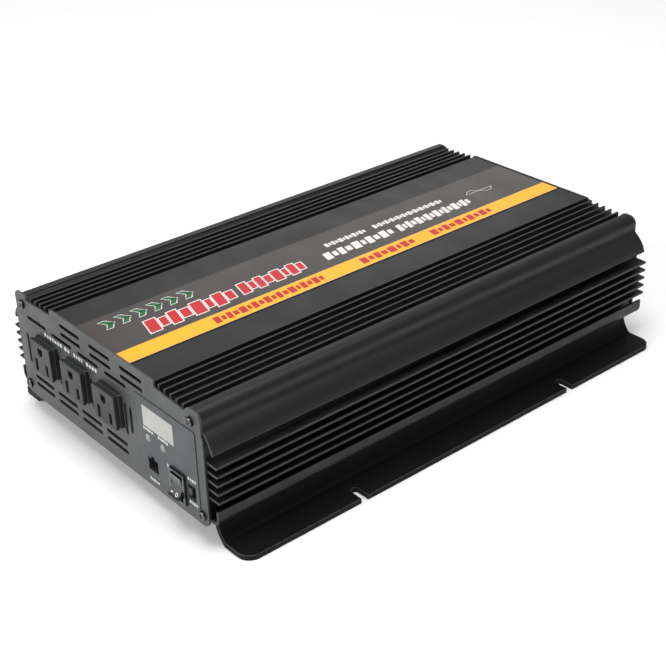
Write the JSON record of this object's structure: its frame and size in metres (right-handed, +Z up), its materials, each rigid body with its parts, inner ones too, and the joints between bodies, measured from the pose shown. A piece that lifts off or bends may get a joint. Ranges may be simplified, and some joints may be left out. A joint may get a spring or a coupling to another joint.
{
  "type": "power inverter",
  "caption": "Finned aluminium housing on two slotted feet, with outlets, display, switches and remote socket in front, fans and screw terminals behind.",
  "frame": {"origin": "middle of the footprint, on the surface that the feet stand on", "axes": "+X to the right seen from the outlet side, +Y from the outlet panel to the terminal panel, +Z up"},
  "size_m": [0.252, 0.4052, 0.091],
  "materials": {
    "housing_black": "black anodised extrusion, satin",
    "base_black": "black anodised plate, matt",
    "panel_grey": "dark grey powder-coated steel sheet",
    "screw_steel": "zinc-plated steel",
    "label_film": "printed film with a yellow stripe",
    "overlay_film": "textured printed film",
    "window": "pale tinted display window",
    "lamp_clear": "diffused epoxy lamp",
    "black_plastic": "moulded black thermoplastic",
    "black_gloss": "polished moulded black plastic",
    "red_plastic": "moulded red plastic",
    "brass": "nickel-free turned and stamped brass",
    "copper": "bare copper",
    "board_green": "solder-masked glass-epoxy board",
    "ferrite": "sintered ferrite, matt",
    "winding": "enamelled copper wire and tape",
    "capacitor_sleeve": "heat-shrunk sleeve on aluminium cans",
    "bar_aluminium": "milled aluminium bar",
    "fuse_plastic": "clear amber moulded plastic"
  },
  "bodies": {
    "housing": {"top_cover": "housing_black", "chassis": "housing_black", "mounting_base": "base_black", "front_panel": "panel_grey", "rear_panel": "panel_grey", "front_panel_screws": "screw_steel", "rear_panel_screws": "screw_steel", "base_screws": "screw_steel", "top_label": "label_film", "control_overlay": "overlay_film", "display_window": "window", "display_module": "black_plastic", "power_led": "lamp_clear", "fault_led": "lamp_clear", "remote_jack": "black_plastic", "jack_contacts": "brass", "rocker_frame": "black_gloss", "slide_switch_body": "black_plastic", "outlet_left": "black_plastic", "outlet_middle": "black_plastic", "outlet_right": "black_plastic", "outlet_contacts": "brass", "fan_frame_left": "black_plastic", "fan_frame_right": "black_plastic", "fan_guard_left": "screw_steel", "fan_guard_right": "screw_steel", "fan_screws": "screw_steel", "terminal_base_positive": "red_plastic", "terminal_base_negative": "black_plastic", "terminal_studs_positive": "brass", "terminal_studs_negative": "brass", "ground_screw": "screw_steel", "main_board": "board_green", "board_spacers": "brass", "board_screws": "screw_steel", "transformer_cores": "ferrite", "transformer_windings": "winding", "input_capacitors": "capacitor_sleeve", "bus_capacitors": "capacitor_sleeve", "output_inductor": "winding", "transistors_left": "black_plastic", "transistors_right": "black_plastic", "clamp_bars": "bar_aluminium", "clamp_screws": "screw_steel", "control_board": "board_green", "fuses": "fuse_plastic", "bus_bars": "copper"},
    "rocker": {"rocker": "black_gloss"},
    "slide_knob": {"slide_knob": "black_plastic"},
    "fan_left": {"fan_rotor_left": "black_plastic"},
    "fan_right": {"fan_rotor_right": "black_plastic"},
    "knob_positive_upper": {"knob_positive_upper": "red_plastic"},
    "knob_positive_lower": {"knob_positive_lower": "red_plastic"},
    "knob_negative_upper": {"knob_negative_upper": "black_gloss"},
    "knob_negative_lower": {"knob_negative_lower": "black_gloss"}
  },
  "joints": [
    {"name": "rocker_tilt", "type": "hinge", "parent": "housing", "child": "rocker", "pos_m": [0.0747, -0.1936, 0.02995], "axis": [1, 0, 0], "range_deg": [0, 20]},
    {"name": "slide_switch_travel", "type": "slide", "parent": "housing", "child": "slide_knob", "axis": [0, 0, -1], "range_m": [0, 0.0036]},
    {"name": "fan_left_spin", "type": "hinge", "parent": "housing", "child": "fan_left", "pos_m": [-0.056, 0.161, 0.05045], "axis": [0, 1, 0], "continuous": true},
    {"name": "fan_right_spin", "type": "hinge", "parent": "housing", "child": "fan_right", "pos_m": [0.056, 0.161, 0.05045], "axis": [0, 1, 0], "continuous": true},
    {"name": "knob_positive_upper_turn", "type": "hinge", "parent": "housing", "child": "knob_positive_upper", "pos_m": [0.016, 0.1896, 0.06395], "axis": [0, 1, 0], "continuous": true},
    {"name": "knob_positive_lower_turn", "type": "hinge", "parent": "housing", "child": "knob_positive_lower", "pos_m": [0.016, 0.1896, 0.03395], "axis": [0, 1, 0], "continuous": true},
    {"name": "knob_negative_upper_turn", "type": "hinge", "parent": "housing", "child": "knob_negative_upper", "pos_m": [-0.016, 0.1896, 0.06395], "axis": [0, 1, 0], "continuous": true},
    {"name": "knob_negative_lower_turn", "type": "hinge", "parent": "housing", "child": "knob_negative_lower", "pos_m": [-0.016, 0.1896, 0.03395], "axis": [0, 1, 0], "continuous": true}
  ]
}
